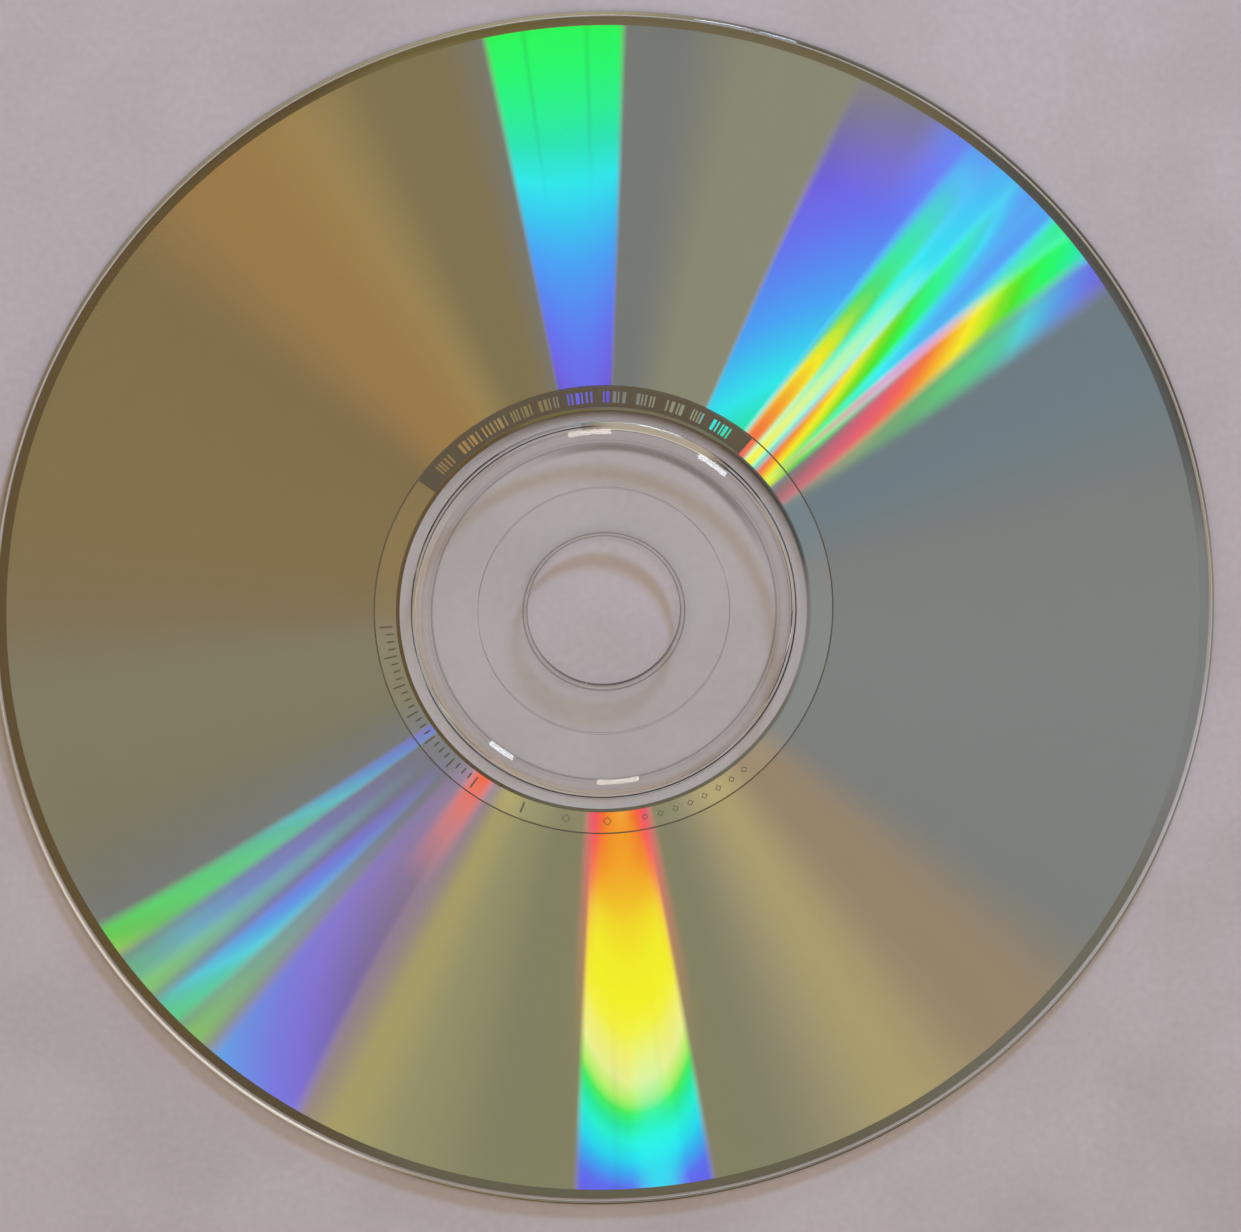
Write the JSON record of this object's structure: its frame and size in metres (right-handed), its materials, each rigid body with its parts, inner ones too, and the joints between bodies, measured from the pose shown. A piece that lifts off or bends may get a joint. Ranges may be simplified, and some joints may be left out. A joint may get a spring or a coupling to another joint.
{
  "type": "compact disc",
  "caption": "Thin clear round disc with a centre hole, a raised stacking ring, a mirror film and a plain coated back.",
  "frame": {"origin": "centre of the face that the disc rests on, on its axis", "axes": "+Z along the disc's axis, from the coated label side to the clear read side; X and Y lie in the disc"},
  "size_m": [0.12, 0.12, 0.0014],
  "materials": {
    "clear_polycarbonate": "clear, polished by the mould",
    "recording_mirror": "dark silver mirror with fine circular tracks",
    "label_lacquer": "plain silver-grey lacquer, satin"
  },
  "bodies": {
    "root": {"clear_substrate": "clear_polycarbonate", "mirror_film": "recording_mirror", "label_coat": "label_lacquer"}
  },
  "joints": []
}
